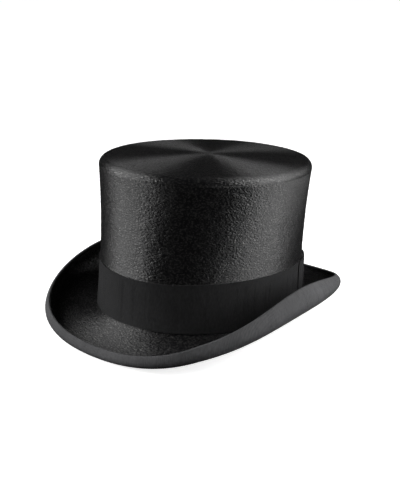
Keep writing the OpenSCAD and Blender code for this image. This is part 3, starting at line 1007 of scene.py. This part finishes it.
def stitch(start, middle, end):
    """A stitch as an arc through three points."""
    t = np.linspace(0, 1, 7)[:, None]
    bow = 4 * t * (1 - t)
    return start + t * (end - start) + bow * (middle - (start + end) / 2)


def make_sweatband_stitches(material):
    height, half = 0.0025, math.radians(0.72)
    paths = []
    for a in np.radians(np.arange(0, 360, 2.2)):
        if abs(a - BACK) > math.radians(7):
            ends = [crown(a + way * half, -LEATHER_IN + 0.0001, height) for way in (-1, 1)]
            paths.append(stitch(ends[0], crown(a, -LEATHER_IN - 0.0003, height), ends[1]))
    piece = threads("sweatband_thread", paths, 0.00022)
    dress(piece, material, "leather_thread", "sweatband_stitches")


def make_binding_stitches(material):
    place = np.array([[BINDING_FOLD_W - 0.0012]])
    surface = BRIM_BODY_TOP + RIBBON_T
    centres = round_angles(216)
    half = math.radians(0.4)
    grids = [
        brim_points(centres + turn, place, surface + rise)[:, 0]
        for turn, rise in ((-half, -0.0001), (0, 0.00025), (half, -0.0001))
    ]
    paths = [stitch(*ends) for ends in zip(*grids)]
    dress(threads("binding_thread", paths, 0.00018), material, "dark_thread", "binding_stitches")


def make_band_stitches(material):
    paths = []
    for a in np.radians(np.arange(0, 360, 30)):
        top = band_top(a)
        ends = crown(a, RIBBON_T - 0.0001, top - 0.0007), crown(a, -0.0001, top + 0.0008)
        paths.append(stitch(ends[0], crown(a, RIBBON_T + 0.0004, top), ends[1]))
    dress(threads("band_thread", paths, 0.0002), material, "dark_thread", "band_tack_stitches")


# ---- the studio ----

CAMERA_AZIMUTH = 36.99
CAMERA_ELEVATION = 19.23
CAMERA_DISTANCE = 0.8
CAMERA_ROLL = 1.0
CAMERA_ASIDE = -0.0014
LOOK_HEIGHT = 0.0576
FOCAL_OVER_LONG_SIDE = 1.70008
LIT_POINT = Vector((0, 0, 0.07))
# Less than the clipping distance of a view's camera, which is about 20 m
STUDIO_REACH = 15.0
WORLD_STRENGTH = 0.012


def direction(azimuth, elevation):
    a, e = math.radians(azimuth), math.radians(elevation)
    return Vector((math.sin(a) * math.cos(e), -math.cos(a) * math.cos(e), math.sin(e)))


def make_camera():
    data = bpy.data.cameras.new("camera")
    data.sensor_width = 36
    data.lens = data.sensor_width * FOCAL_OVER_LONG_SIDE
    data.clip_start, data.clip_end = 0.05, 100
    camera = new_object("camera", data)
    back, right = direction(CAMERA_AZIMUTH, CAMERA_ELEVATION), direction(CAMERA_AZIMUTH + 90, 0)
    turn = Matrix((right, back.cross(right), back)).transposed().to_4x4()
    target = Vector((0, foot_centre[1], LOOK_HEIGHT)) + CAMERA_ASIDE * right
    roll = Matrix.Rotation(math.radians(CAMERA_ROLL), 4, "Z")
    camera.matrix_world = Matrix.Translation(target + CAMERA_DISTANCE * back) @ turn @ roll
    bpy.context.scene.camera = camera


def stage_mesh(name, points, faces, material, unseen_by):
    """A staged object that these kinds of rays don't meet."""
    mesh = bpy.data.meshes.new(name)
    mesh.from_pydata(points, [], faces)
    mesh.materials.append(material)
    made = new_object(name, mesh)
    for kind in unseen_by:
        setattr(made, "visible_" + kind, False)


def softbox(name, aside, elevation, distance, width, height, radiance):
    """A rectangular light that faces the hat. aside is its angle from the camera's azimuth."""
    data = bpy.data.lights.new(name, "AREA")
    data.shape = "RECTANGLE"
    data.size, data.size_y = width, height
    data.energy = radiance * math.pi * width * height
    light = new_object(name, data)
    away = direction(CAMERA_AZIMUTH + aside, elevation)
    turn = away.to_track_quat("Z", "Y").to_matrix().to_4x4()
    light.matrix_world = Matrix.Translation(LIT_POINT + distance * away) @ turn
    light.visible_camera = False


def make_studio():
    """Lights at the sides, a pale floor that brightens away from the hat, and a white backdrop."""
    softbox("left_softbox", -77, 20, 1.0, 1.0, 1.3, 4.15)
    softbox("right_softbox", 80, 19, 1.0, 0.85, 1.2, 5.15)
    softbox("right_front_softbox", 66, 42, 0.8, 0.3, 0.35, 2.2)
    softbox("left_rear_softbox", -110, 26, 1.1, 0.5, 0.6, 2.4)
    softbox("right_rear_softbox", 120, 27, 1.05, 0.5, 0.7, 2.4)

    world = bpy.data.worlds.new("studio")
    bpy.context.scene.world = world
    world.use_nodes = True
    background = world.node_tree.nodes["Background"]
    background.inputs[0].default_value = (1, 1, 1, 1)
    background.inputs[1].default_value = WORLD_STRENGTH

    white, tree = new_material(
        "pale_floor", base_color=(0.85, 0.85, 0.85, 1), roughness=0.9, specular_ior_level=0.0,
        emission_color=(1, 1, 1, 1),
    )
    from_hat = add(tree, "VectorMath", {0: object_place(tree)}, output=1, operation="LENGTH")
    glow = spread_value(tree, from_hat, 0.75, 1.0, start=0.5, end=1.8)
    tree.links.new(glow, tree.nodes["Principled BSDF"].inputs["Emission Strength"])
    reach = STUDIO_REACH
    corners = [(-reach, -reach, 0), (reach, -reach, 0), (reach, reach, 0), (-reach, reach, 0)]
    stage_mesh("floor", corners, [(0, 1, 2, 3)], white, ("glossy", "diffuse"))

    wall_white, tree = new_material("backdrop_white")
    glow = add(tree, "Emission", {"Color": (1, 1, 1, 1), "Strength": 1.0})
    tree.links.new(glow, tree.nodes["Material Output"].inputs["Surface"])
    count = 48
    angles = np.linspace(0, 2 * math.pi, count + 1)[:-1]
    points = [(reach * math.cos(t), reach * math.sin(t), z) for z in (-reach, reach) for t in angles]
    walls = [(i, (i + 1) % count, (i + 1) % count + count, i + count) for i in range(count)]
    ends = [tuple(range(count)), tuple(range(2 * count - 1, count - 1, -1))]
    unseen_by = ("diffuse", "glossy", "transmission", "volume_scatter", "shadow")
    stage_mesh("backdrop", points, walls + ends, wall_white, unseen_by)

    view = bpy.context.scene.view_settings
    view.view_transform = "Standard"
    view.look = "None"


def main():
    make_camera()
    make_side_plush(plush_material("crown_plush", dull_top=0.1))
    make_tip_plush(plush_material("tip_plush", tuple(on_crown(*SWIRL, CROWN_HEIGHT)[:2]), lay=0.009))
    make_brim_plush(plush_material("brim_plush", specular=0.4))
    make_underbrim(cloth_material("underbrim_cloth", (0.008, 0.008, 0.009), (0.018, 0.018, 0.02), 1400, 0.75))

    # The binding's colours are lighter than the band's: partly the ribbon's own dark colour, partly painted
    # light standing in for light bounced up from the floor onto it.
    painted_bounce_grey = (0.056, 0.056, 0.058), (0.074, 0.074, 0.077)
    make_binding(grosgrain_material("binding_grosgrain", *painted_bounce_grey, 2600, 0.6, 0.12, 0.0))
    black = (0.0105, 0.0105, 0.011), (0.0185, 0.0185, 0.0192)
    band_ribbon = grosgrain_material("band_grosgrain", *black, 2600, 0.68, 0.15, 0.02)
    make_band(band_ribbon)
    make_bow(band_ribbon)

    leather = leather_material("sweatband_leather", (0.07, 0.036, 0.018), (0.125, 0.068, 0.036))
    make_sweatband(leather)
    make_reed_tape(cloth_material("cotton_tape", (0.012, 0.011, 0.01), (0.03, 0.028, 0.026), 1100, 0.8))
    make_back_seam(leather)
    soft_black = (0.01, 0.01, 0.012), (0.022, 0.022, 0.025)
    make_small_bow(grosgrain_material("narrow_ribbon", *soft_black, 3500, 0.45, 0.5, 0.1))
    make_forehead_pad(cloth_material("pad_wadding", (0.5, 0.46, 0.38), (0.66, 0.62, 0.54), 700, 0.85))
    satin = satin_material("ivory_satin", (0.66, 0.61, 0.505), (0.715, 0.67, 0.565))
    make_side_lining(satin)
    make_tip_lining(satin)
    make_piping(satin_material("satin_piping", (0.55, 0.49, 0.38), (0.66, 0.6, 0.48)))
    make_ticket(card_material())

    make_sweatband_stitches(thread_material("leather_thread", (0.09, 0.055, 0.03), (0.17, 0.11, 0.065)))
    dark_thread = thread_material("dark_thread", (0.006, 0.006, 0.007), (0.02, 0.02, 0.022))
    make_binding_stitches(dark_thread)
    make_band_stitches(dark_thread)

    stiff_body = stiff_body_material()
    kept = {node: stiff_body for node in ("side_crown_body", "crown_tip_body", "brim_body")}
    kept["sweatband_reed"] = reed_material()
    for node, material in kept.items():
        frame["nodes"][node].data.materials.clear()
        frame["nodes"][node].data.materials.append(material)

    make_studio()


main()
